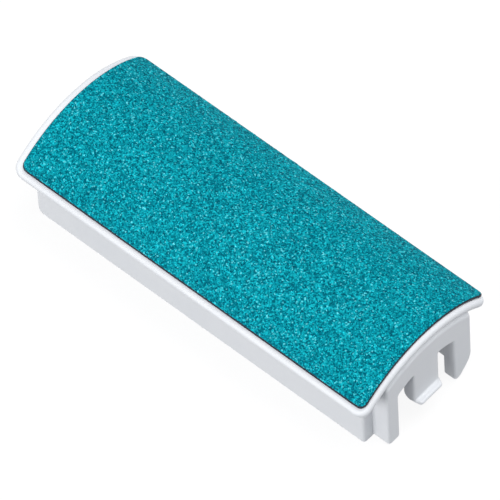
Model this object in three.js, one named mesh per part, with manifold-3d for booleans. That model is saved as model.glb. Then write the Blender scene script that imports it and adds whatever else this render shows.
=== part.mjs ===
// Clip-on abrasive head of an electric callus remover, in millimetres, +Z up.
// +X is the nose, the end with the snap latch, and -X is the tail.
// The part stands on its skirt and guide legs at z = 0.
import * as THREE from 'three';
import { mergeVertices } from 'three/addons/utils/BufferGeometryUtils.js';
import Module from 'manifold-3d';

const wasm = await Module();
wasm.setup();

// ---- Driving dimensions -------------------------------------------------

const HEIGHT = 18.3;            // skirt foot to the crown of the abrasive
const CROWN_RADIUS = 20.6;      // outer face of the abrasive, about an axis along X
const ARC_STEPS = 26;           // facets across the crowned sheets
const ARC_HALF_ANGLE = 48;      // degrees, wider than every sheet before it is trimmed

const SHEET_LENGTH = 65;
const SHEET_WIDTH = 26.2;
const SHEET_CORNER = 1.1;
const SHEET_SHIFT_X = 0.4;      // glued off centre, towards the nose
const SHEET_SHIFT_Y = 0.17;     // and towards the +Y side
const GRIT_THICKNESS = 0.14;
const FILM_THICKNESS = 0.26;
const ADHESIVE_THICKNESS = 0.14;
const LAYER_GAP = 0.01;

const PLATE_LENGTH = 67;
const PLATE_WIDTH = 27;
const PLATE_CORNER = 2;
const PLATE_THICKNESS = 1.6;

const SKIRT_TAIL_X = -32.35;
const SKIRT_NOSE_X = 30.4;
const SKIRT_HALF_WIDTH = 10.2;
const SKIRT_WALL = 1.84;
const SKIRT_CORNER = 0.8;
const SKIRT_RETURN = 1.46;      // inward lip of the near side wall at the nose
const TAIL_CUT_X = 1.4;         // bevel under the tail wall, along X
const TAIL_CUT_Z = 1.5;         // the same bevel, along Z

const NOSE_FACE_X = 33.45;
const NOSE_THICKNESS = 2.2;
const NOSE_INNER_RADIUS = 13.8; // underside of the arch between the legs
const SHOULDER_X = 0.75;        // round over the top of the nose arch, along X
const SHOULDER_R = 1.3;         // the same round, along the radius

const LEG_INNER_Y = 5.95;
const NEAR_LEG_OUTER_Y = 8.36;
const FAR_LEG_OUTER_Y = 9.6;
const FAR_LEG_CUT = 2.6;        // bevel at the far leg's outer foot
const FAR_LEG_LIFT = 0.2;       // the far leg stops short of the near one

const LATCH_HALF_WIDTH = 2.65;
const LATCH_WALL = 2.2;
const LATCH_HINGE_Z = 10.2;
const LATCH_FOOT_Z = 4.4;
const LIP_LEDGE_Z = 5.3;
const LIP_TIP_Z = 4.95;
const LIP_REACH = 1;
const LIP_FILLET = 1;

const HOOK_REACH = 1.1;
const HOOK_WIDTH = 4;
const HOOK_INNER_Y = 3;
const HOOK_LOW_Z = 2.4;
const HOOK_HIGH_Z = 4.6;
const HOOK_SLOPE = 0.8;

const RIB_COUNT = 5;
const RIB_PITCH = 11;
const RIB_THICKNESS = 1.2;
const RIB_LOW_Z = 12.6;

const SEAM = 0.05;              // clearance between neighbouring solids

// ---- Worked-out dimensions ----------------------------------------------

const AXIS_Z = HEIGHT - CROWN_RADIUS;
const FILM_TOP = CROWN_RADIUS - GRIT_THICKNESS - LAYER_GAP;
const ADHESIVE_TOP = FILM_TOP - FILM_THICKNESS - LAYER_GAP;
const PLATE_TOP = ADHESIVE_TOP - ADHESIVE_THICKNESS - LAYER_GAP;
const PLATE_UNDER = PLATE_TOP - PLATE_THICKNESS;
const LATCH_TIP_X = NOSE_FACE_X + LIP_REACH;
const LATCH_HINGE_X = NOSE_FACE_X - LATCH_WALL / 2;
const NOSE_BACK_X = NOSE_FACE_X - NOSE_THICKNESS;
const SKIRT_INNER_Y = SKIRT_HALF_WIDTH - SKIRT_WALL;
const MIDDLE_X = (LATCH_TIP_X - PLATE_LENGTH / 2) / 2;

// ---- Materials ----------------------------------------------------------

const grit = new THREE.MeshStandardMaterial({ color: 0x0c96a9, roughness: 0.75, metalness: 0 });
const film = new THREE.MeshStandardMaterial({ color: 0x3a3d46, roughness: 0.5, metalness: 0 });
const adhesive = new THREE.MeshStandardMaterial({ color: 0x5b6068, roughness: 0.6, metalness: 0 });
const plastic = new THREE.MeshStandardMaterial({ color: 0xe8eaee, roughness: 0.35, metalness: 0 });

// ---- Solid helpers ------------------------------------------------------

function solidOf(geometry) {
  geometry.deleteAttribute('normal');
  geometry.deleteAttribute('uv');
  const merged = mergeVertices(geometry, 1e-5);
  const vertProperties = new Float32Array(merged.attributes.position.array);
  const triVerts = new Uint32Array(merged.index.array);
  return new wasm.Manifold(new wasm.Mesh({ numProp: 3, vertProperties, triVerts }));
}

function geometryOf(solid) {
  const mesh = solid.getMesh();
  const geometry = new THREE.BufferGeometry();
  geometry.setAttribute('position', new THREE.BufferAttribute(new Float32Array(mesh.vertProperties), 3));
  geometry.setIndex(new THREE.BufferAttribute(new Uint32Array(mesh.triVerts), 1));
  geometry.computeVertexNormals();
  return geometry;
}

// A box between two opposite corners.
function block(low, high) {
  const size = high.map((value, i) => value - low[i]);
  const geometry = new THREE.BoxGeometry(...size);
  geometry.translate(...high.map((value, i) => (value + low[i]) / 2));
  return solidOf(geometry);
}

// A shape drawn across the part, in Y and Z, and pushed along X.
function alongX(shape, low, high) {
  const geometry = new THREE.ExtrudeGeometry(shape, {
    depth: high - low,
    bevelEnabled: false,
    curveSegments: ARC_STEPS,
  });
  const axes = new THREE.Matrix4().makeBasis(
    new THREE.Vector3(0, 1, 0),
    new THREE.Vector3(0, 0, 1),
    new THREE.Vector3(1, 0, 0),
  );
  geometry.applyMatrix4(axes);
  geometry.translate(low, 0, 0);
  return solidOf(geometry);
}

// A shape drawn from the side, in X and Z, and pushed along Y.
function alongY(shape, low, high) {
  const geometry = new THREE.ExtrudeGeometry(shape, {
    depth: high - low,
    bevelEnabled: false,
    curveSegments: 8,
  });
  geometry.rotateX(Math.PI / 2);
  geometry.translate(0, high, 0);
  return solidOf(geometry);
}

// A rounded rectangle drawn from above, and pushed from the floor past the crown.
function column(centreX, centreY, length, width, corner) {
  const x = length / 2;
  const y = width / 2;
  const outline = new THREE.Shape();
  outline.moveTo(-x + corner, -y);
  outline.lineTo(x - corner, -y);
  outline.absarc(x - corner, -y + corner, corner, -Math.PI / 2, 0);
  outline.lineTo(x, y - corner);
  outline.absarc(x - corner, y - corner, corner, 0, Math.PI / 2);
  outline.lineTo(-x + corner, y);
  outline.absarc(-x + corner, y - corner, corner, Math.PI / 2, Math.PI);
  outline.lineTo(-x, -y + corner);
  outline.absarc(-x + corner, -y + corner, corner, Math.PI, 1.5 * Math.PI);
  const geometry = new THREE.ExtrudeGeometry(outline, {
    depth: HEIGHT + 2,
    bevelEnabled: false,
    curveSegments: 6,
  });
  geometry.translate(centreX, centreY, 0);
  return solidOf(geometry);
}

// A curved slab between two radii about the crown's axis.
function crownedSlab(innerRadius, outerRadius, low, high) {
  const start = Math.PI / 2 - THREE.MathUtils.degToRad(ARC_HALF_ANGLE);
  const end = Math.PI / 2 + THREE.MathUtils.degToRad(ARC_HALF_ANGLE);
  const arch = new THREE.Shape();
  arch.absarc(0, AXIS_Z, outerRadius, start, end, false);
  arch.absarc(0, AXIS_Z, innerRadius, end, start, true);
  arch.closePath();
  return alongX(arch, low, high);
}

// Everything within one radius of the crown's axis.
function crownCore(radius) {
  const disc = new THREE.Shape();
  disc.absarc(0, AXIS_Z, radius, 0, 2 * Math.PI, false);
  const geometry = new THREE.ExtrudeGeometry(disc, {
    depth: PLATE_LENGTH + 10,
    bevelEnabled: false,
    curveSegments: 96,
  });
  const axes = new THREE.Matrix4().makeBasis(
    new THREE.Vector3(0, 1, 0),
    new THREE.Vector3(0, 0, 1),
    new THREE.Vector3(1, 0, 0),
  );
  geometry.applyMatrix4(axes);
  geometry.translate(-PLATE_LENGTH / 2 - 5, 0, 0);
  return solidOf(geometry);
}

const root = new THREE.Group();
root.position.x = -MIDDLE_X;

function place(name, solid, material) {
  const mesh = new THREE.Mesh(geometryOf(solid), material);
  mesh.name = name;
  root.add(mesh);
}

// ---- Abrasive sheet: grit coat, backing film and adhesive ---------------

function sheetLayer(outerRadius, thickness) {
  const slab = crownedSlab(outerRadius - thickness, outerRadius, -SHEET_LENGTH, SHEET_LENGTH);
  const outline = column(SHEET_SHIFT_X, SHEET_SHIFT_Y, SHEET_LENGTH, SHEET_WIDTH, SHEET_CORNER);
  return slab.intersect(outline);
}

place('abrasive_coat', sheetLayer(CROWN_RADIUS, GRIT_THICKNESS), grit);
place('backing_film', sheetLayer(FILM_TOP, FILM_THICKNESS), film);
place('adhesive_sheet', sheetLayer(ADHESIVE_TOP, ADHESIVE_THICKNESS), adhesive);

// ---- Pad plate: the crowned plate whose edge is the white rim ------------

function padPlate() {
  const slab = crownedSlab(PLATE_UNDER, PLATE_TOP, -PLATE_LENGTH, PLATE_LENGTH);
  return slab.intersect(column(0, 0, PLATE_LENGTH, PLATE_WIDTH, PLATE_CORNER));
}

place('pad_plate', padPlate(), plastic);

// ---- Skirt frame: two side walls and the tail wall, open at the nose -----

function skirtFrame() {
  const length = SKIRT_NOSE_X - SKIRT_TAIL_X;
  const middle = (SKIRT_NOSE_X + SKIRT_TAIL_X) / 2;
  const outside = column(middle, 0, length, 2 * SKIRT_HALF_WIDTH, SKIRT_CORNER);
  const hollow = block(
    [SKIRT_TAIL_X + SKIRT_WALL, -SKIRT_INNER_Y, -1],
    [SKIRT_NOSE_X - SKIRT_WALL, SKIRT_INNER_Y, HEIGHT + 3],
  );
  const mouth = block(
    [0, -SKIRT_INNER_Y + SKIRT_RETURN, -1],
    [SKIRT_NOSE_X + 1, SKIRT_INNER_Y, HEIGHT + 3],
  );
  const bevel = new THREE.Shape();
  bevel.moveTo(SKIRT_TAIL_X - 1, -1);
  bevel.lineTo(SKIRT_TAIL_X + TAIL_CUT_X * (1 + 1 / TAIL_CUT_Z), -1);
  bevel.lineTo(SKIRT_TAIL_X, TAIL_CUT_Z);
  bevel.lineTo(SKIRT_TAIL_X - 1, TAIL_CUT_Z);
  bevel.closePath();
  return outside
    .subtract(hollow)
    .subtract(mouth)
    .subtract(alongY(bevel, -PLATE_WIDTH, PLATE_WIDTH))
    .intersect(crownCore(PLATE_UNDER - SEAM));
}

place('skirt_frame', skirtFrame(), plastic);

// ---- Nose arch: a band under the rim that carries the legs and the latch --

function noseArch() {
  const outer = PLATE_UNDER - SEAM;
  const profile = [
    new THREE.Vector2(NOSE_INNER_RADIUS, NOSE_BACK_X),
    new THREE.Vector2(outer, NOSE_BACK_X),
  ];
  const roundSteps = 6;
  for (let i = 0; i <= roundSteps; i += 1) {
    const turn = (i / roundSteps) * Math.PI / 2;
    const radius = outer - SHOULDER_R * (1 - Math.cos(turn));
    const x = NOSE_FACE_X - SHOULDER_X * (1 - Math.sin(turn));
    profile.push(new THREE.Vector2(radius, x));
  }
  profile.push(new THREE.Vector2(NOSE_INNER_RADIUS, NOSE_FACE_X));
  profile.push(profile[0].clone());
  const ring = new THREE.LatheGeometry(profile, 96);
  const axes = new THREE.Matrix4().makeBasis(
    new THREE.Vector3(0, 1, 0),
    new THREE.Vector3(1, 0, 0),
    new THREE.Vector3(0, 0, -1),
  );
  ring.applyMatrix4(axes);
  ring.translate(0, 0, AXIS_Z);
  const window = block(
    [NOSE_BACK_X - 1, -NEAR_LEG_OUTER_Y, 0],
    [NOSE_FACE_X + 1, FAR_LEG_OUTER_Y, HEIGHT],
  );
  return solidOf(ring).intersect(window);
}

place('nose_arch', noseArch(), plastic);

// ---- Guide legs: they steer the nose into the handle ---------------------

// Each leg has a front post and a web that reaches back to the end of the skirt.
function guideLeg(postY, webY, footZ) {
  const post = block([NOSE_BACK_X, postY[0], footZ], [NOSE_FACE_X, postY[1], HEIGHT]);
  const web = block([SKIRT_NOSE_X + SEAM, webY[0], footZ], [NOSE_BACK_X + 1, webY[1], HEIGHT]);
  return post.add(web).intersect(crownCore(NOSE_INNER_RADIUS - SEAM));
}

function nearLeg() {
  const web = [-SKIRT_INNER_Y, -SKIRT_INNER_Y + SKIRT_RETURN];
  return guideLeg([-NEAR_LEG_OUTER_Y, -LEG_INNER_Y], web, 0);
}

function farLeg() {
  const web = [SKIRT_INNER_Y, FAR_LEG_OUTER_Y];
  return guideLeg([LEG_INNER_Y, FAR_LEG_OUTER_Y], web, FAR_LEG_LIFT).subtract(farLegBevel());
}

function farLegBevel() {
  const corner = new THREE.Shape();
  corner.moveTo(FAR_LEG_OUTER_Y + 1, -1);
  corner.lineTo(FAR_LEG_OUTER_Y + 1, FAR_LEG_CUT + 1);
  corner.lineTo(FAR_LEG_OUTER_Y - FAR_LEG_CUT - 1, -1);
  corner.closePath();
  return alongX(corner, SKIRT_NOSE_X, NOSE_FACE_X + 1);
}

place('guide_leg_near', nearLeg(), plastic);
place('guide_leg_far', farLeg(), plastic);

// ---- Snap latch: a springy tongue with a lip that catches the handle ------

function snapLatch() {
  const back = NOSE_FACE_X - LATCH_WALL;
  const side = new THREE.Shape();
  side.absarc(LATCH_HINGE_X, LATCH_HINGE_Z, LATCH_WALL / 2, 0, Math.PI, false);
  side.lineTo(back, LATCH_FOOT_Z + 1);
  side.quadraticCurveTo(back, LATCH_FOOT_Z, back + 1, LATCH_FOOT_Z);
  side.lineTo(NOSE_FACE_X, LATCH_FOOT_Z);
  side.quadraticCurveTo(LATCH_TIP_X, LATCH_FOOT_Z, LATCH_TIP_X, LIP_TIP_Z);
  side.lineTo(LATCH_TIP_X, LIP_LEDGE_Z);
  side.quadraticCurveTo(NOSE_FACE_X, LIP_LEDGE_Z, NOSE_FACE_X, LIP_LEDGE_Z + LIP_FILLET);
  side.closePath();
  return alongY(side, -LATCH_HALF_WIDTH, LATCH_HALF_WIDTH);
}

place('snap_latch', snapLatch(), plastic);

// ---- Tail hooks: they tilt in under the handle's edge first ---------------

function tailHook(low, high) {
  const rootX = SKIRT_TAIL_X - SEAM;
  const tipX = SKIRT_TAIL_X - HOOK_REACH;
  const side = new THREE.Shape();
  side.moveTo(rootX, HOOK_LOW_Z);
  side.lineTo(rootX, HOOK_HIGH_Z);
  side.lineTo(tipX, HOOK_HIGH_Z - HOOK_SLOPE);
  side.lineTo(tipX, HOOK_LOW_Z);
  side.closePath();
  return alongY(side, low, high);
}

place('tail_hook_near', tailHook(-HOOK_INNER_Y - HOOK_WIDTH, -HOOK_INNER_Y), plastic);
place('tail_hook_far', tailHook(HOOK_INNER_Y, HOOK_INNER_Y + HOOK_WIDTH), plastic);

// ---- Cross ribs: they stiffen the plate over the handle's head ------------

function crossRib(x) {
  const rib = block(
    [x - RIB_THICKNESS / 2, -SKIRT_INNER_Y + SEAM, RIB_LOW_Z],
    [x + RIB_THICKNESS / 2, SKIRT_INNER_Y - SEAM, HEIGHT],
  );
  return rib.intersect(crownCore(PLATE_UNDER - SEAM));
}

for (let i = 0; i < RIB_COUNT; i += 1) {
  place(`cross_rib_${i + 1}`, crossRib((i - (RIB_COUNT - 1) / 2) * RIB_PITCH), plastic);
}

export default root;
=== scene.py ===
# Clip-on abrasive head of an electric callus remover, in metres, +Z up.
# +X is the nose, where the latch is, and -Y is the side towards the camera.
import math

import bmesh
import bpy
from mathutils import Matrix, Quaternion, Vector, noise


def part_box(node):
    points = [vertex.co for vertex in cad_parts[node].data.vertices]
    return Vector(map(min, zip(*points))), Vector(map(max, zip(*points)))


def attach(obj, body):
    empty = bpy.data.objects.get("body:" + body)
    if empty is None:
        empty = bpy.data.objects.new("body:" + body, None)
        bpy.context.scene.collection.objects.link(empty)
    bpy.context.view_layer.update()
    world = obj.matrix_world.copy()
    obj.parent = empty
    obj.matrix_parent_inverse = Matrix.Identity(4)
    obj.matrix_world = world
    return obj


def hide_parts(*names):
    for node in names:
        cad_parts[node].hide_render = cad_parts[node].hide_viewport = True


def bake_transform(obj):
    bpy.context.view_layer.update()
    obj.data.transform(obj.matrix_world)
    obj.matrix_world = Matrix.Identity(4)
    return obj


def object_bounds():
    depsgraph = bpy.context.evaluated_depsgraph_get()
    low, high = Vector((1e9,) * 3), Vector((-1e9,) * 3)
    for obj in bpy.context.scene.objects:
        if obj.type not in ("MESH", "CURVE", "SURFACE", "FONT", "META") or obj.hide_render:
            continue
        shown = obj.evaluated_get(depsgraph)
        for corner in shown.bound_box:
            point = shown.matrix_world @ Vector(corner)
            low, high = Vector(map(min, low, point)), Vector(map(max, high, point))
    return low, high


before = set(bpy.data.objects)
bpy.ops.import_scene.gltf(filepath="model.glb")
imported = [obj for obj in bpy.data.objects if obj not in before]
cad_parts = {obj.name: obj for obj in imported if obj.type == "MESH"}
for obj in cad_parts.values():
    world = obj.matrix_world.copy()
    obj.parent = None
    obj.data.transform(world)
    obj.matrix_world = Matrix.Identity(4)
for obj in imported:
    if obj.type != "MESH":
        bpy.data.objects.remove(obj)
cad_low, cad_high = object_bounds()

# ---- Pad plate -----------------------------------------------------------------------
# The crowned plate that the abrasive is glued to. Its round edge is the white rim of the
# head. It is moulded in white ABS in one shot with every wall, leg and hook under it.

MM = 0.001
CROWN_RADIUS = 20.6 * MM
crown_axis_z = cad_high.z - CROWN_RADIUS

PLATE_THICKNESS = 1.6 * MM
PLATE_CORNER = 2 * MM
RIM_ROUND = 0.77 * MM
BEND_STEP = 0.9 * MM
WIDTH_TRIM = 0.01 * MM         # keeps the bent rim inside the plate's box
PIN_MARK_RADIUS = 1.3 * MM
PIN_MARK_RELIEF = 0.07 * MM
PIN_MARK_XS = [x * MM for x in (-17.5, -6.5, 4.5, 15.5, 26.5)]
PIN_MARK_Y = 5 * MM
GATE_X = 5 * MM
GATE_RADIUS = 0.7 * MM
GATE_RELIEF = 0.25 * MM

SHARP_ANGLE = math.radians(38)

plate_low, plate_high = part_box("pad_plate")
plate_top_radius = plate_high.z - crown_axis_z
plate_under_radius = plate_top_radius - PLATE_THICKNESS


def white_abs():
    """Glossy white ABS with the faint orange peel and clouding of a moulded face."""
    material = bpy.data.materials.new("white_abs")
    material.use_nodes = True
    nodes, links = material.node_tree.nodes, material.node_tree.links
    shader = nodes["Principled BSDF"]
    shader.inputs["IOR"].default_value = 1.5
    shader.inputs["Specular IOR Level"].default_value = 0.4
    place = nodes.new("ShaderNodeTexCoord")

    clouds = nodes.new("ShaderNodeTexNoise")
    clouds.inputs["Scale"].default_value = 140
    clouds.inputs["Detail"].default_value = 3
    links.new(place.outputs["Object"], clouds.inputs["Vector"])
    tint = nodes.new("ShaderNodeValToRGB")
    tint.color_ramp.elements[0].position = 0.3
    tint.color_ramp.elements[0].color = (0.80, 0.815, 0.84, 1)
    tint.color_ramp.elements[1].position = 0.7
    tint.color_ramp.elements[1].color = (0.835, 0.845, 0.865, 1)
    links.new(clouds.outputs["Fac"], tint.inputs["Fac"])
    links.new(tint.outputs["Color"], shader.inputs["Base Color"])

    gloss = nodes.new("ShaderNodeMapRange")
    gloss.inputs["To Min"].default_value = 0.34
    gloss.inputs["To Max"].default_value = 0.46
    links.new(clouds.outputs["Fac"], gloss.inputs["Value"])
    links.new(gloss.outputs["Result"], shader.inputs["Roughness"])

    peel = nodes.new("ShaderNodeTexNoise")
    peel.inputs["Scale"].default_value = 2600
    peel.inputs["Detail"].default_value = 2
    links.new(place.outputs["Object"], peel.inputs["Vector"])
    relief = nodes.new("ShaderNodeBump")
    relief.inputs["Strength"].default_value = 0.12
    relief.inputs["Distance"].default_value = 0.02 * MM
    links.new(peel.outputs["Fac"], relief.inputs["Height"])
    links.new(relief.outputs["Normal"], shader.inputs["Normal"])
    return material


def round_edges(bm, edges, radius, segments, clamped=True):
    bmesh.ops.bevel(
        bm, geom=edges, offset=radius, offset_type="OFFSET", segments=segments,
        profile=0.5, affect="EDGES", clamp_overlap=clamped, material=-1,
    )


def flat_slab(low, high, thickness, corner, corner_steps):
    """A slab with round corners, its top at z = 0. Y is measured along the crown's arc."""
    bm = bmesh.new()
    bmesh.ops.create_cube(bm, size=1)
    bmesh.ops.scale(bm, vec=(high[0] - low[0], high[1] - low[1], thickness), verts=bm.verts)
    middle = ((low[0] + high[0]) / 2, (low[1] + high[1]) / 2, -thickness / 2)
    bmesh.ops.translate(bm, vec=middle, verts=bm.verts)
    uprights = [e for e in bm.edges if abs(e.verts[0].co.z - e.verts[1].co.z) > thickness / 2]
    round_edges(bm, uprights, corner, corner_steps)
    return bm


def face_towards(bm, direction):
    """The face of bm that lies furthest in a direction."""
    direction = Vector(direction)
    return max(bm.faces, key=lambda face: face.calc_center_median().dot(direction))


def slice_at(bm, plane_point, plane_normal, **clearing):
    everything = bm.verts[:] + bm.edges[:] + bm.faces[:]
    return bmesh.ops.bisect_plane(
        bm, geom=everything, dist=1e-8, plane_co=plane_point, plane_no=plane_normal, **clearing
    )


def slice_across(bm, step):
    """Cuts strips along Y, so that the mesh can bend."""
    low = min(vert.co.y for vert in bm.verts)
    high = max(vert.co.y for vert in bm.verts)
    count = math.ceil((high - low) / step)
    for i in range(1, count):
        slice_at(bm, (0, low + (high - low) * i / count, 0), (0, 1, 0))


def bend_over_crown(bm, radius):
    """Bends a flat mesh about the crown's axis, with z = 0 at the given radius."""
    for vert in bm.verts:
        turn = vert.co.y / radius
        reach = radius + vert.co.z
        vert.co.y = reach * math.sin(turn)
        vert.co.z = crown_axis_z + reach * math.cos(turn)


def crown_height(y, radius):
    return crown_axis_z + math.sqrt(radius * radius - y * y)


def piece_of(name, bm, material, nodes, body="head"):
    """Makes a finished object of a bmesh, which rides on a body in place of CAD nodes."""
    mesh = bpy.data.meshes.new(name)
    bm.to_mesh(mesh)
    bm.free()
    mesh.shade_smooth()
    mesh.set_sharp_from_angle(angle=SHARP_ANGLE)
    mesh.materials.append(material)
    piece = bpy.data.objects.new(name, mesh)
    bpy.context.scene.collection.objects.link(piece)
    evened = piece.modifiers.new("even_shading", "WEIGHTED_NORMAL")
    evened.keep_sharp = True
    if body:
        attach(piece, body)
    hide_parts(*nodes)
    return piece


def add_disc(bm, x, y, radius, relief):
    """A low round pad on the plate's underside."""
    turn = math.asin(y / plate_under_radius)
    base = Matrix.Rotation(-turn, 4, "X") @ Matrix.Translation((x, 0, plate_under_radius))
    made = bmesh.ops.create_cone(
        bm, cap_ends=True, segments=28, radius1=radius, radius2=radius, depth=2 * relief,
        matrix=Matrix.Translation((0, 0, crown_axis_z)) @ base,
    )
    disc_faces = (face for vert in made["verts"] for face in vert.link_faces)
    lower = min(disc_faces, key=lambda face: face.calc_center_median().z)
    round_edges(bm, list(lower.edges), relief * 0.5, 2)


def pad_plate():
    mid_radius = plate_top_radius - PLATE_THICKNESS / 2
    half_arc = plate_top_radius * math.asin((plate_high.y - RIM_ROUND) / mid_radius) + RIM_ROUND
    half_arc -= WIDTH_TRIM
    low = (plate_low.x, -half_arc)
    high = (plate_high.x, half_arc)
    bm = flat_slab(low, high, PLATE_THICKNESS, PLATE_CORNER, 10)
    round_edges(bm, list(face_towards(bm, (0, 0, 1)).edges), RIM_ROUND, 6)
    round_edges(bm, list(face_towards(bm, (0, 0, -1)).edges), RIM_ROUND, 6)
    slice_across(bm, BEND_STEP)
    bend_over_crown(bm, plate_top_radius)
    for x in PIN_MARK_XS:
        for side in (-1, 1):
            add_disc(bm, x, side * PIN_MARK_Y, PIN_MARK_RADIUS, PIN_MARK_RELIEF)
    add_disc(bm, GATE_X, 0, GATE_RADIUS, GATE_RELIEF)
    return bm


plastic = white_abs()
piece_of("plate_moulding", pad_plate(), plastic, ["pad_plate"])

# ---- Skirt ---------------------------------------------------------------------------
# Two side walls and a tail wall, open at the nose. They drop over the drive head of the
# handle. The tail wall is rounded underneath, because the head tilts in tail first.

SKIRT_WALL = 1.84 * MM
SKIRT_RETURN = 1.46 * MM
SKIRT_NOSE_CORNER = 0.5 * MM
SKIRT_TAIL_CORNER = 0.7 * MM
SKIRT_INNER_CORNER = 0.45 * MM
TAIL_LEAN = math.radians(4)
TAIL_LEAN_TOP = 5 * MM
TAIL_FOOT_ROUND = 1.4 * MM
TAIL_FOOT_CUTS = 5
FOOT_EDGE = 0.3 * MM
WALL_STRIP = 1.5 * MM
SINK = 0.6 * MM                # how far the walls run up into the plate

skirt_low, skirt_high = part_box("skirt_frame")


def corner_round(bm, corners, radius, segments):
    """Rounds corners of a flat outline. Each corner is its place in the outline's plane."""
    picked = [v for v in bm.verts if any((v.co - Vector(c)).length < 1e-6 for c in corners)]
    bmesh.ops.bevel(
        bm, geom=picked, offset=radius, offset_type="OFFSET", segments=segments,
        profile=0.5, affect="VERTICES", clamp_overlap=True, material=-1,
    )


def outline_face(points):
    bm = bmesh.new()
    verts = [bm.verts.new(point) for point in points]
    bm.faces.new(verts)
    return bm


def push(bm, faces, vector):
    """Extrudes faces by a vector, as one block."""
    made = bmesh.ops.extrude_face_region(bm, geom=faces)
    moved = [item for item in made["geom"] if isinstance(item, bmesh.types.BMVert)]
    bmesh.ops.translate(bm, vec=vector, verts=moved)
    return moved


def close_holes(bm):
    open_edges = [edge for edge in bm.edges if edge.is_boundary]
    bmesh.ops.edgeloop_fill(bm, edges=open_edges)


def hard_edges(bm, keep, angle=50):
    """Edges that fold more than an angle, of those that the test keeps."""
    limit = math.radians(angle)
    return [e for e in bm.edges if e.is_manifold and e.calc_face_angle() > limit and keep(e)]


def skirt():
    nose_x, tail_x = skirt_high.x, skirt_low.x
    half = skirt_high.y
    inner = half - SKIRT_WALL
    mouth = inner - SKIRT_RETURN
    inner_nose, inner_tail = nose_x - SKIRT_WALL, tail_x + SKIRT_WALL
    inside = [
        (nose_x, -mouth, 0), (inner_nose, -mouth, 0), (inner_nose, -inner, 0),
        (inner_tail, -inner, 0), (inner_tail, inner, 0), (nose_x, inner, 0),
    ]
    outside = [(nose_x, half, 0), (tail_x, half, 0), (tail_x, -half, 0), (nose_x, -half, 0)]
    bm = outline_face(inside + outside)
    corner_round(bm, [(nose_x, side * half, 0) for side in (-1, 1)], SKIRT_NOSE_CORNER, 8)
    corner_round(bm, [(tail_x, side * half, 0) for side in (-1, 1)], SKIRT_TAIL_CORNER, 7)
    corner_round(bm, inside, SKIRT_INNER_CORNER, 4)
    push(bm, bm.faces[:], (0, 0, plate_low.z))
    bmesh.ops.recalc_face_normals(bm, faces=bm.faces)
    slice_across(bm, WALL_STRIP)
    for vert in bm.verts:
        if vert.co.z > 0:
            vert.co.z = crown_height(vert.co.y, plate_under_radius + SINK)

    lean = Vector((-math.cos(TAIL_LEAN), 0, -math.sin(TAIL_LEAN)))
    slice_at(bm, (tail_x, 0, TAIL_LEAN_TOP), lean, clear_outer=True)
    close_holes(bm)
    foot_x = tail_x + math.tan(TAIL_LEAN) * (TAIL_LEAN_TOP - TAIL_FOOT_ROUND)
    centre = Vector((foot_x + TAIL_FOOT_ROUND, 0, TAIL_FOOT_ROUND))
    for i in range(1, TAIL_FOOT_CUTS + 1):
        turn = math.pi / 2 * i / (TAIL_FOOT_CUTS + 1)
        out = Vector((-math.cos(turn), 0, -math.sin(turn)))
        slice_at(bm, centre + out * TAIL_FOOT_ROUND, out, clear_outer=True)
        close_holes(bm)
    bmesh.ops.dissolve_degenerate(bm, dist=1e-6, edges=bm.edges)
    low_edges = hard_edges(bm, lambda edge: max(v.co.z for v in edge.verts) < TAIL_LEAN_TOP + MM)
    round_edges(bm, low_edges, FOOT_EDGE, 3)
    bmesh.ops.recalc_face_normals(bm, faces=bm.faces)
    return bm


piece_of("skirt_walls", skirt(), plastic, ["skirt_frame"])

# ---- Nose: arch, guide legs and latch ------------------------------------------------
# An arch under the rim carries two guide legs and, between them, the springy latch. The
# faces are flush and every edge is soft, because the mould cuts them as one shape.

ARCH_INNER_RADIUS = 13.8 * MM
ARCH_SINK = 0.15 * MM
ARCH_STEPS = 20
SLOT_STEPS = 3
SHOULDER = 1.15 * MM
NOSE_EDGE = 0.36 * MM
NOSE_EDGE_STEPS = 4
SLOT_CORNER = 0.4 * MM
WELD = 0.01 * MM
LEG_INNER_Y = 5.95 * MM
NEAR_FOOT_CORNER = 0.6 * MM
FAR_FOOT_CORNERS = (1.2 * MM, 0.5 * MM, 0.55 * MM)    # from the outer side inwards
FAR_FOOT_LIFT = 0.2 * MM
FAR_FOOT_CUT_Z = 2.6 * MM
FAR_FOOT_CUT_Y = 2.5 * MM
NEAR_WEB_Y = -6.9 * MM
FAR_WEB_Y = 8.36 * MM
WEB_REACH = 0.3 * MM           # how far each leg's web runs into the skirt
LATCH_SPLIT_Y = 3.3 * MM
LEG_SPLIT_Z = 9.2 * MM
LATCH_SPLICE_Z = 7.6 * MM

arch_low, arch_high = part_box("nose_arch")
latch_low, latch_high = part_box("snap_latch")
arch_outer_radius = plate_under_radius + ARCH_SINK
nose_face_x = arch_high.x
nose_back_x = arch_low.x
latch_half = latch_high.y


def radius_at(vert):
    return math.hypot(vert.co.y, vert.co.z - crown_axis_z)


def arc_to(bm, start, y, steps):
    """Carries an outline on from a vertex, round the crown's axis, as far as y."""
    radius = radius_at(start)
    turn = math.asin(start.co.y / radius) - math.asin(y / radius)
    made = bmesh.ops.spin(
        bm, geom=[start], cent=(start.co.x, 0, crown_axis_z), axis=(1, 0, 0),
        angle=turn, steps=steps, use_duplicate=False,
    )
    return made["geom_last"][0]


def line_to(bm, start, y, z):
    end = bm.verts.new((start.co.x, y, z))
    bm.edges.new((start, end))
    return end


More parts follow.
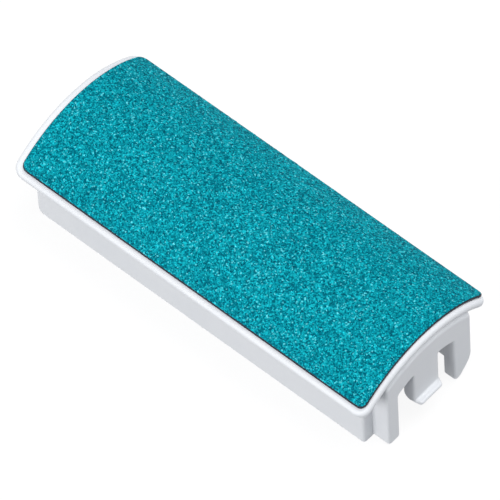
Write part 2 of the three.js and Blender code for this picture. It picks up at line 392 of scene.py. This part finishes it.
def nose_outline():
    """The nose seen from the front, with the latch as a plain tongue."""
    x = nose_back_x
    near_y, far_y = arch_low.y, arch_high.y
    bm = bmesh.new()
    first = bm.verts.new((x, near_y, crown_height(near_y, arch_outer_radius)))
    at = arc_to(bm, first, far_y, ARCH_STEPS)
    at = line_to(bm, at, far_y, FAR_FOOT_CUT_Z)
    at = line_to(bm, at, far_y - FAR_FOOT_CUT_Y, FAR_FOOT_LIFT)
    at = line_to(bm, at, LEG_INNER_Y, FAR_FOOT_LIFT)
    at = line_to(bm, at, LEG_INNER_Y, crown_height(LEG_INNER_Y, ARCH_INNER_RADIUS))
    at = arc_to(bm, at, latch_half, SLOT_STEPS)
    at = line_to(bm, at, latch_half, latch_low.z)
    at = line_to(bm, at, -latch_half, latch_low.z)
    at = line_to(bm, at, -latch_half, crown_height(latch_half, ARCH_INNER_RADIUS))
    at = arc_to(bm, at, -LEG_INNER_Y, SLOT_STEPS)
    at = line_to(bm, at, -LEG_INNER_Y, 0)
    at = line_to(bm, at, near_y, 0)
    bm.edges.new((at, first))
    bmesh.ops.contextual_create(bm, geom=bm.edges[:])
    for side in (-1, 1):
        for y in (latch_half, LEG_INNER_Y):
            slot_top = (x, side * y, crown_height(y, ARCH_INNER_RADIUS))
            corner_round(bm, [slot_top], SLOT_CORNER, 4)
    corner_round(bm, [(x, near_y, 0), (x, -LEG_INNER_Y, 0)], NEAR_FOOT_CORNER, 4)
    outer_round, cut_round, inner_round = FAR_FOOT_CORNERS
    corner_round(bm, [(x, far_y, FAR_FOOT_CUT_Z)], outer_round, 3)
    corner_round(bm, [(x, far_y - FAR_FOOT_CUT_Y, FAR_FOOT_LIFT)], cut_round, 3)
    corner_round(bm, [(x, LEG_INNER_Y, FAR_FOOT_LIFT)], inner_round, 4)
    return bm


def slice_faces(bm, faces, plane_point, plane_normal):
    """Slices some of the faces, and gives back the faces that they become."""
    corners = dict.fromkeys(vert for face in faces for vert in face.verts)
    sides = dict.fromkeys(edge for face in faces for edge in face.edges)
    made = bmesh.ops.bisect_plane(
        bm, geom=[*corners, *sides, *faces], dist=1e-8,
        plane_co=plane_point, plane_no=plane_normal,
    )
    return [item for item in made["geom"] if isinstance(item, bmesh.types.BMFace)]


def nose_blank():
    """The whole nose as one block with all its edges rounded."""
    bm = nose_outline()
    push(bm, bm.faces[:], (nose_face_x - nose_back_x, 0, 0))
    bmesh.ops.recalc_face_normals(bm, faces=bm.faces)

    for y in (NEAR_WEB_Y, FAR_WEB_Y):
        slice_faces(bm, [f for f in bm.faces if f.normal.x < -0.9], (0, y, 0), (0, 1, 0))
    backs = [f for f in bm.faces if f.normal.x < -0.9]
    webs = [f for f in backs if not NEAR_WEB_Y < f.calc_center_bounds().y < FAR_WEB_Y]
    push(bm, webs, (skirt_high.x - WEB_REACH - nose_back_x, 0, 0))
    bmesh.ops.delete(bm, geom=webs, context="FACES_ONLY")
    bmesh.ops.recalc_face_normals(bm, faces=bm.faces)

    def on_shoulder(edge):
        return all(
            vert.co.x > nose_face_x - 1e-6 and radius_at(vert) > arch_outer_radius - 2e-6
            for vert in edge.verts
        )

    shoulder = [edge for edge in bm.edges if on_shoulder(edge)]
    round_edges(bm, shoulder, SHOULDER, 7, clamped=False)

    def is_shown(edge):
        middle = (edge.verts[0].co + edge.verts[1].co) / 2
        buried = all(radius_at(v) > plate_under_radius for v in edge.verts)
        in_skirt = middle.x < skirt_high.x - WEB_REACH / 2
        return not buried and not in_skirt

    round_edges(bm, hard_edges(bm, is_shown), NOSE_EDGE, NOSE_EDGE_STEPS, clamped=False)
    bmesh.ops.remove_doubles(bm, verts=bm.verts, dist=WELD)
    bmesh.ops.recalc_face_normals(bm, faces=bm.faces)
    return bm


def part_between(blank, cuts):
    """The part of a block that lies behind each of some planes, closed at the cuts."""
    bm = blank.copy()
    for point, normal in cuts:
        slice_at(bm, point, normal, clear_outer=True)
        close_holes(bm)
    return bm


def add_in(bm, other):
    """Adds another bmesh's shape to bm, and frees the other."""
    passing = bpy.data.meshes.new("passing")
    other.to_mesh(passing)
    other.free()
    bm.from_mesh(passing)
    bpy.data.meshes.remove(passing)


blank = nose_blank()
above_legs = ((0, 0, LEG_SPLIT_Z), (0, 0, -1))
below_arch = ((0, 0, LEG_SPLIT_Z), (0, 0, 1))
near_side = ((0, -LATCH_SPLIT_Y, 0), (0, 1, 0))
far_side = ((0, LATCH_SPLIT_Y, 0), (0, -1, 0))

nose_band = part_between(blank, [near_side, above_legs])
add_in(nose_band, part_between(blank, [far_side, above_legs]))
piece_of("nose_band", nose_band, plastic, ["nose_arch"])
piece_of(
    "near_leg", part_between(blank, [near_side, below_arch]), plastic,
    ["guide_leg_near"],
)
piece_of(
    "far_leg", part_between(blank, [far_side, below_arch]), plastic,
    ["guide_leg_far"],
)

# ---- Snap latch ----------------------------------------------------------------------
# A springy tongue that hangs from the middle of the arch and bends at its root. Its lip
# catches the handle, with a small fillet above, a round lead-in below and a narrower tip.

LIP_LEDGE_Z = 4.95 * MM
LIP_FOOT_Z = 4.2 * MM
LIP_FILLET = 0.3 * MM
LIP_TIP_ROUND = 0.365 * MM
LIP_LEAD_IN = 0.38 * MM
LIP_NARROWING = 0.85
HEEL_ROUND = 1.3 * MM
BEND_STRIP = 0.4 * MM          # slices through the root in even strips
BEND_STRIPS = 11


def latch_foot():
    """The tongue below the splice, drawn from the side and pushed across."""
    y = -latch_half
    top_z = LATCH_SPLICE_Z + MM
    tip_x = latch_high.x
    heel = (nose_back_x, y, LIP_FOOT_Z)
    lead = (tip_x, y, LIP_FOOT_Z)
    tip = (tip_x, y, LIP_LEDGE_Z)
    inside = (nose_face_x, y, LIP_LEDGE_Z)
    bm = outline_face([(nose_back_x, y, top_z), heel, lead, tip, inside, (nose_face_x, y, top_z)])
    corner_round(bm, [heel], HEEL_ROUND, 6)
    corner_round(bm, [lead], LIP_LEAD_IN, 5)
    corner_round(bm, [tip], LIP_TIP_ROUND, 4)
    corner_round(bm, [inside], LIP_FILLET, 5)
    push(bm, bm.faces[:], (0, 2 * latch_half, 0))
    bmesh.ops.recalc_face_normals(bm, faces=bm.faces)

    def is_side(edge):
        level = abs(edge.verts[0].co.y - edge.verts[1].co.y) < 1e-7
        return level and min(v.co.z for v in edge.verts) < top_z - 1e-6

    round_edges(bm, hard_edges(bm, is_side), NOSE_EDGE, NOSE_EDGE_STEPS, clamped=False)
    for vert in bm.verts:
        reach = max(0, vert.co.x - nose_face_x) / (tip_x - nose_face_x)
        vert.co.y *= 1 - (1 - LIP_NARROWING) * reach
    slice_at(bm, (0, 0, LATCH_SPLICE_Z), (0, 0, 1), clear_outer=True)
    return bm


def snap_latch():
    beyond_near = ((0, -LATCH_SPLIT_Y, 0), (0, -1, 0))
    beyond_far = ((0, LATCH_SPLIT_Y, 0), (0, 1, 0))
    bm = part_between(blank, [beyond_near, beyond_far])
    slice_at(bm, (0, 0, LATCH_SPLICE_Z), (0, 0, 1), clear_inner=True)
    add_in(bm, latch_foot())
    bmesh.ops.remove_doubles(bm, verts=bm.verts, dist=WELD)
    for i in range(1, BEND_STRIPS + 1):
        slice_at(bm, (0, 0, LATCH_SPLICE_Z + i * BEND_STRIP), (0, 0, 1))
    bmesh.ops.recalc_face_normals(bm, faces=bm.faces)
    return bm


latch = piece_of(
    "latch_tongue", snap_latch(), plastic, ["snap_latch"], body=None,
)
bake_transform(latch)
blank.free()

# ---- Tail hooks ----------------------------------------------------------------------
# Two short hooks on the tail wall. They go in under the edge of the handle's socket
# first, and the head then turns down about them until the latch snaps.

HOOK_EDGE = 0.22 * MM
HOOK_SLOPE = 0.8 * MM
HOOK_ROOT = 0.5 * MM           # how far each hook runs into the tail wall


def tail_hook(node):
    low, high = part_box(node)
    root_x = high.x + HOOK_ROOT
    bm = outline_face([
        (root_x, low.y, low.z), (low.x, low.y, low.z),
        (low.x, low.y, high.z - HOOK_SLOPE), (root_x, low.y, high.z + HOOK_SLOPE / 2),
    ])
    push(bm, bm.faces[:], (0, high.y - low.y, 0))
    bmesh.ops.recalc_face_normals(bm, faces=bm.faces)
    shown = hard_edges(bm, lambda edge: min(v.co.x for v in edge.verts) < root_x - 1e-6, 30)
    round_edges(bm, shown, HOOK_EDGE, 3)
    bmesh.ops.recalc_face_normals(bm, faces=bm.faces)
    return bm


for side in ("near", "far"):
    node = f"tail_hook_{side}"
    piece_of(f"{side}_hook", tail_hook(node), plastic, [node])

# ---- Cross ribs ----------------------------------------------------------------------
# Thin ribs between the side walls hold the plate's curve. Each narrows downwards, so that
# it leaves the mould, and has a round lower edge.

RIB_DRAFT = 0.12 * MM
RIB_EDGE = 0.25 * MM
RIB_ROOT = 0.3 * MM            # how far each end runs into a side wall
RIB_DEPTH = 5 * MM
RIB_STRIP = 1 * MM


def cross_rib(node):
    low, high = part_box(node)
    width = high.y - low.y + 2 * RIB_ROOT
    middle_x = (low.x + high.x) / 2
    bm = bmesh.new()
    bmesh.ops.create_cube(bm, size=1)
    bmesh.ops.scale(bm, vec=(high.x - low.x, width, RIB_DEPTH), verts=bm.verts)
    bmesh.ops.translate(bm, vec=(middle_x, 0, low.z + RIB_DEPTH / 2), verts=bm.verts)
    floor_face = face_towards(bm, (0, 0, -1))
    for vert in floor_face.verts:
        vert.co.x += math.copysign(RIB_DRAFT, middle_x - vert.co.x)
    long_edges = [edge for edge in floor_face.edges if edge.calc_length() > width / 2]
    round_edges(bm, long_edges, RIB_EDGE, 3)
    slice_across(bm, RIB_STRIP)
    for vert in bm.verts:
        if vert.co.z > low.z + RIB_DEPTH / 2:
            vert.co.z = crown_height(vert.co.y, plate_under_radius + SINK)
    bmesh.ops.recalc_face_normals(bm, faces=bm.faces)
    return bm


for node in sorted(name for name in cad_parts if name.startswith("cross_rib")):
    name = node.replace("cross_", "stiffening_")
    piece_of(name, cross_rib(node), plastic, [node])

# ---- Adhesive and backing film -------------------------------------------------------
# The sheet is die-cut from grit-coated polyester film, with a pressure-sensitive adhesive
# behind it. Only the dark cut edge of the two shows, under the grit. That dark colour is
# partly their own and partly painted shade, for the shadowed gap under the sheet's edge.

SHEET_CORNER = 1.1 * MM
GLUE_THICKNESS = 0.14 * MM
GLUE_INSET = 0.12 * MM
GLUE_EDGE = 0.04 * MM
FILM_THICKNESS = 0.26 * MM
FILM_EDGE = 0.05 * MM


def layer_box(node, inset=0):
    """Low and high corners of a sheet layer laid flat, its thickness and its radius."""
    low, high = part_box(node)
    radius = high.z - crown_axis_z
    flat_low = (low.x + inset, radius * math.asin(low.y / radius) + inset)
    flat_high = (high.x - inset, radius * math.asin(high.y / radius) - inset)
    return flat_low, flat_high, radius


def film_material(name, colour, roughness):
    material = bpy.data.materials.new(name)
    material.use_nodes = True
    nodes, links = material.node_tree.nodes, material.node_tree.links
    shader = nodes["Principled BSDF"]
    shader.inputs["Roughness"].default_value = roughness
    shader.inputs["Specular IOR Level"].default_value = 0.3
    place = nodes.new("ShaderNodeTexCoord")
    grain = nodes.new("ShaderNodeTexNoise")
    grain.inputs["Scale"].default_value = 1500
    links.new(place.outputs["Object"], grain.inputs["Vector"])
    tint = nodes.new("ShaderNodeValToRGB")
    tint.color_ramp.elements[0].color = tuple(0.8 * c for c in colour) + (1,)
    tint.color_ramp.elements[1].color = tuple(1.2 * c for c in colour) + (1,)
    links.new(grain.outputs["Fac"], tint.inputs["Fac"])
    links.new(tint.outputs["Color"], shader.inputs["Base Color"])
    relief = nodes.new("ShaderNodeBump")
    relief.inputs["Strength"].default_value = 0.3
    relief.inputs["Distance"].default_value = 0.01 * MM
    links.new(grain.outputs["Fac"], relief.inputs["Height"])
    links.new(relief.outputs["Normal"], shader.inputs["Normal"])
    return material


def sheet_layer(node, thickness, inset, edge_round):
    flat_low, flat_high, radius = layer_box(node, inset)
    bm = flat_slab(flat_low, flat_high, thickness, SHEET_CORNER, 8)
    round_edges(bm, list(face_towards(bm, (0, 0, 1)).edges), edge_round, 2)
    round_edges(bm, list(face_towards(bm, (0, 0, -1)).edges), edge_round, 2)
    slice_across(bm, BEND_STEP)
    bend_over_crown(bm, radius)
    return bm


# Both dark layers are partly their own colour and partly painted shade for the shadowed gap under
# the sheet's edge.
glue = film_material("dark_adhesive_and_painted_shade", (0.05, 0.052, 0.065), 0.7)
piece_of(
    "glue_layer", sheet_layer("adhesive_sheet", GLUE_THICKNESS, GLUE_INSET, GLUE_EDGE),
    glue, ["adhesive_sheet"],
)
film = film_material("dark_film_and_painted_shade", (0.022, 0.022, 0.034), 0.6)
piece_of(
    "film_layer", sheet_layer("backing_film", FILM_THICKNESS, 0, FILM_EDGE),
    film, ["backing_film"],
)

# ---- Abrasive coat -------------------------------------------------------------------
# Teal resin full of fine grit, sprayed on the film. The grains stand proud as real relief.
# Their colour has painted shade down in the resin and painted light on their tops, and a few
# grains carry a painted glint, a near-white teal that stands in for a highlight.

GRIT_STEP = 0.142 * MM
COAT_SETBACK = 0.12 * MM       # the die crushes the coat back from the film's edge
GRAIN_SIZE = 0.3 * MM
TINT_CELL = 0.19 * MM
FACET_CELL = 0.12 * MM
GRAIN_RELIEF = 0.085 * MM
COAT_THICKNESS = 0.13 * MM


def teal_grit():
    material = bpy.data.materials.new("teal_grit")
    material.use_nodes = True
    nodes, links = material.node_tree.nodes, material.node_tree.links
    shader = nodes["Principled BSDF"]
    shader.inputs["Specular IOR Level"].default_value = 0.02
    place = nodes.new("ShaderNodeTexCoord")

    grains = nodes.new("ShaderNodeTexVoronoi")
    grains.inputs["Scale"].default_value = 1 / TINT_CELL
    links.new(place.outputs["Object"], grains.inputs["Vector"])
    pick = nodes.new("ShaderNodeSeparateColor")
    links.new(grains.outputs["Color"], pick.inputs["Color"])

    tint = nodes.new("ShaderNodeValToRGB")
    ramp = tint.color_ramp
    ramp.elements[0].position = 0.0
    ramp.elements[0].color = (0, 0.11, 0.17, 1)
    ramp.elements[1].position = 0.94
    ramp.elements[1].color = (0.011, 0.63, 0.73, 1)
    middle = ramp.elements.new(0.5)
    middle.color = (0.001, 0.31, 0.395, 1)
    # Painted glint: the brightest few grains get a near-white teal as a painted highlight.
    clear = ramp.elements.new(0.985)
    clear.color = (0.14, 0.8, 0.9, 1)
    links.new(pick.outputs["Red"], tint.inputs["Fac"])

    # Painted shade and light: grain height darkens the base colour down in the resin between
    # grains and lightens it on grain tops.
    height = nodes.new("ShaderNodeAttribute")
    height.attribute_name = "grain_height"
    painted_shade_and_light = nodes.new("ShaderNodeMapRange")
    painted_shade_and_light.inputs["To Min"].default_value = 0.6
    painted_shade_and_light.inputs["To Max"].default_value = 1.25
    links.new(height.outputs["Fac"], painted_shade_and_light.inputs["Value"])
    shade = nodes.new("ShaderNodeVectorMath")
    shade.operation = "SCALE"
    links.new(tint.outputs["Color"], shade.inputs[0])
    links.new(painted_shade_and_light.outputs["Result"], shade.inputs["Scale"])
    links.new(shade.outputs["Vector"], shader.inputs["Base Color"])

    gloss = nodes.new("ShaderNodeMapRange")
    gloss.inputs["To Min"].default_value = 0.3
    gloss.inputs["To Max"].default_value = 0.75
    links.new(pick.outputs["Green"], gloss.inputs["Value"])
    links.new(gloss.outputs["Result"], shader.inputs["Roughness"])

    facets = nodes.new("ShaderNodeTexVoronoi")
    facets.inputs["Scale"].default_value = 1 / FACET_CELL
    links.new(place.outputs["Object"], facets.inputs["Vector"])
    relief = nodes.new("ShaderNodeBump")
    relief.inputs["Strength"].default_value = 0.5
    relief.inputs["Distance"].default_value = 0.03 * MM
    links.new(facets.outputs["Distance"], relief.inputs["Height"])
    links.new(relief.outputs["Normal"], shader.inputs["Normal"])
    return material


def grain_height(x, y):
    """Height of the grit from 0 in the resin to 1 on a grain's top."""
    spot = Vector((x, y, 0)) / GRAIN_SIZE
    distances, points = noise.voronoi(spot)
    size = 0.35 + 0.65 * noise.cell(points[0] * 7.3)
    dome = max(0.0, 1 - (distances[0] / 0.62) ** 2)
    clumps = 0.5 + 0.5 * noise.noise(spot * 0.31)
    return min(1.0, dome * (0.45 + 0.55 * abs(size)) * (0.7 + 0.3 * clumps))


def abrasive_coat():
    flat_low, flat_high, radius = layer_box("abrasive_coat", COAT_SETBACK)
    length, width = flat_high[0] - flat_low[0], flat_high[1] - flat_low[1]
    middle_x, middle_y = (flat_low[0] + flat_high[0]) / 2, (flat_low[1] + flat_high[1]) / 2
    bm = bmesh.new()
    layer = bm.verts.layers.float.new("grain_height")
    bmesh.ops.create_grid(
        bm, x_segments=round(length / GRIT_STEP), y_segments=round(width / GRIT_STEP), size=0.5,
    )
    bmesh.ops.scale(bm, vec=(length, width, 1), verts=bm.verts)

    def past_corner(vert):
        """How far a vertex is from its corner's centre, or 0 away from the corners."""
        over_x = abs(vert.co.x) - (length / 2 - SHEET_CORNER)
        over_y = abs(vert.co.y) - (width / 2 - SHEET_CORNER)
        return math.hypot(over_x, over_y) if min(over_x, over_y) > 0 else 0

    cut = [v for v in bm.verts if past_corner(v) > SHEET_CORNER]
    bmesh.ops.delete(bm, geom=cut, context="VERTS")
    for vert in bm.verts:
        away = past_corner(vert)
        if vert.is_boundary and away:
            centre = Vector((
                math.copysign(length / 2 - SHEET_CORNER, vert.co.x),
                math.copysign(width / 2 - SHEET_CORNER, vert.co.y),
                0,
            ))
            vert.co = centre + (vert.co - centre) * (SHEET_CORNER / away)
    bmesh.ops.translate(bm, vec=(middle_x, middle_y, 0), verts=bm.verts)

    top_verts = bm.verts[:]
    rim = [e for e in bm.edges if e.is_boundary]
    wall = bmesh.ops.extrude_edge_only(bm, edges=rim)["geom"]
    lower = [item for item in wall if isinstance(item, bmesh.types.BMVert)]
    bmesh.ops.translate(bm, vec=(0, 0, -COAT_THICKNESS), verts=lower)
    close_holes(bm)
    under = [face for face in bm.faces if face.normal.z < -0.9]
    strips = math.ceil(width / BEND_STEP)
    for i in range(1, strips):
        under = slice_faces(bm, under, (0, flat_low[1] + width * i / strips, 0), (0, 1, 0))

    for vert in top_verts:
        height = 0.5 if vert.is_boundary else grain_height(vert.co.x, vert.co.y)
        vert[layer] = height
        vert.co.z = GRAIN_RELIEF * (height - 1)
    bend_over_crown(bm, radius)
    bmesh.ops.recalc_face_normals(bm, faces=bm.faces)
    return bm


coat = piece_of("grit_coat", abrasive_coat(), teal_grit(), ["abrasive_coat"])
coat.modifiers.clear()

# ---- Floor and light -----------------------------------------------------------------
# A plain pale table that glows a little and stays out of the lighting, a soft room that
# is darker towards the ground, and large lamps overhead, at the near side and at the nose.

FLOOR_WIDTH = 6.0
floor_material = bpy.data.materials.new("pale_table")
floor_material.use_nodes = True
floor_shader = floor_material.node_tree.nodes["Principled BSDF"]
floor_shader.inputs["Base Color"].default_value = (0.12, 0.12, 0.12, 1)
floor_shader.inputs["Roughness"].default_value = 0.9
floor_shader.inputs["Specular IOR Level"].default_value = 0.0
floor_shader.inputs["Emission Color"].default_value = (1, 1, 1, 1)
floor_shader.inputs["Emission Strength"].default_value = 0.9
floor_build = bmesh.new()
bmesh.ops.create_grid(floor_build, x_segments=1, y_segments=1, size=FLOOR_WIDTH / 2)
bmesh.ops.translate(floor_build, vec=(0, 0, cad_low.z), verts=floor_build.verts)
floor_mesh = bpy.data.meshes.new("table")
floor_build.to_mesh(floor_mesh)
floor_build.free()
floor_mesh.materials.append(floor_material)
floor = bpy.data.objects.new("table", floor_mesh)
bpy.context.scene.collection.objects.link(floor)
floor.visible_diffuse = False
floor.visible_shadow = False

world = bpy.data.worlds.new("studio")
world.use_nodes = True
room = world.node_tree.nodes["Background"]
towards = world.node_tree.nodes.new("ShaderNodeTexCoord")
upward = world.node_tree.nodes.new("ShaderNodeSeparateXYZ")
world.node_tree.links.new(towards.outputs["Generated"], upward.inputs["Vector"])
walls = world.node_tree.nodes.new("ShaderNodeMapRange")
walls.inputs["From Min"].default_value = -0.5
walls.inputs["From Max"].default_value = 0.6
world.node_tree.links.new(upward.outputs["Z"], walls.inputs["Value"])
glow = world.node_tree.nodes.new("ShaderNodeValToRGB")
glow.color_ramp.elements[0].color = (0.07, 0.08, 0.095, 1)
glow.color_ramp.elements[1].color = (0.6, 0.62, 0.65, 1)
world.node_tree.links.new(walls.outputs["Result"], glow.inputs["Fac"])
world.node_tree.links.new(glow.outputs["Color"], room.inputs["Color"])
bpy.context.scene.world = world


def soft_lamp(name, place, size, power):
    light = bpy.data.lights.new(name, "AREA")
    light.shape = "SQUARE"
    light.size = size
    light.energy = power
    lamp = bpy.data.objects.new(name, light)
    lamp.location = place
    lamp.rotation_mode = "QUATERNION"
    lamp.rotation_quaternion = (-Vector(place)).to_track_quat("-Z", "Y")
    bpy.context.scene.collection.objects.link(lamp)
    return lamp


soft_lamp("key", (0.18, 0.2, 1.13), 0.7, 6.7)
soft_lamp("side_fill", (-0.1, -1.1, 0.25), 0.8, 7)
soft_lamp("nose_fill", (0.95, 0.55, 0.45), 0.8, 2.4)

# ---- Camera --------------------------------------------------------------------------
# A long lens, high over the near nose corner, held a few degrees off level.

AZIMUTH = math.radians(44.52)
ELEVATION = math.radians(55.07)
ROLL = math.radians(-3.66)
DISTANCE = 1.2256
AIM_SHIFT = Vector((-0.065, -0.264, 0)) * MM

back = Vector((
    math.sin(AZIMUTH) * math.cos(ELEVATION),
    -math.cos(AZIMUTH) * math.cos(ELEVATION),
    math.sin(ELEVATION),
))
camera_data = bpy.data.cameras.new("camera")
camera_data.lens = 619.3
camera_data.sensor_width = 36
camera_data.clip_start = 0.1
camera_data.clip_end = 10
camera = bpy.data.objects.new("camera", camera_data)
camera.location = (cad_low + cad_high) / 2 + AIM_SHIFT + back * DISTANCE
camera.rotation_mode = "QUATERNION"
camera.rotation_quaternion = (-back).to_track_quat("-Z", "Y") @ Quaternion((0, 0, 1), ROLL)
bpy.context.scene.collection.objects.link(camera)
bpy.context.scene.camera = camera
bpy.context.scene.view_settings.view_transform = "Standard"
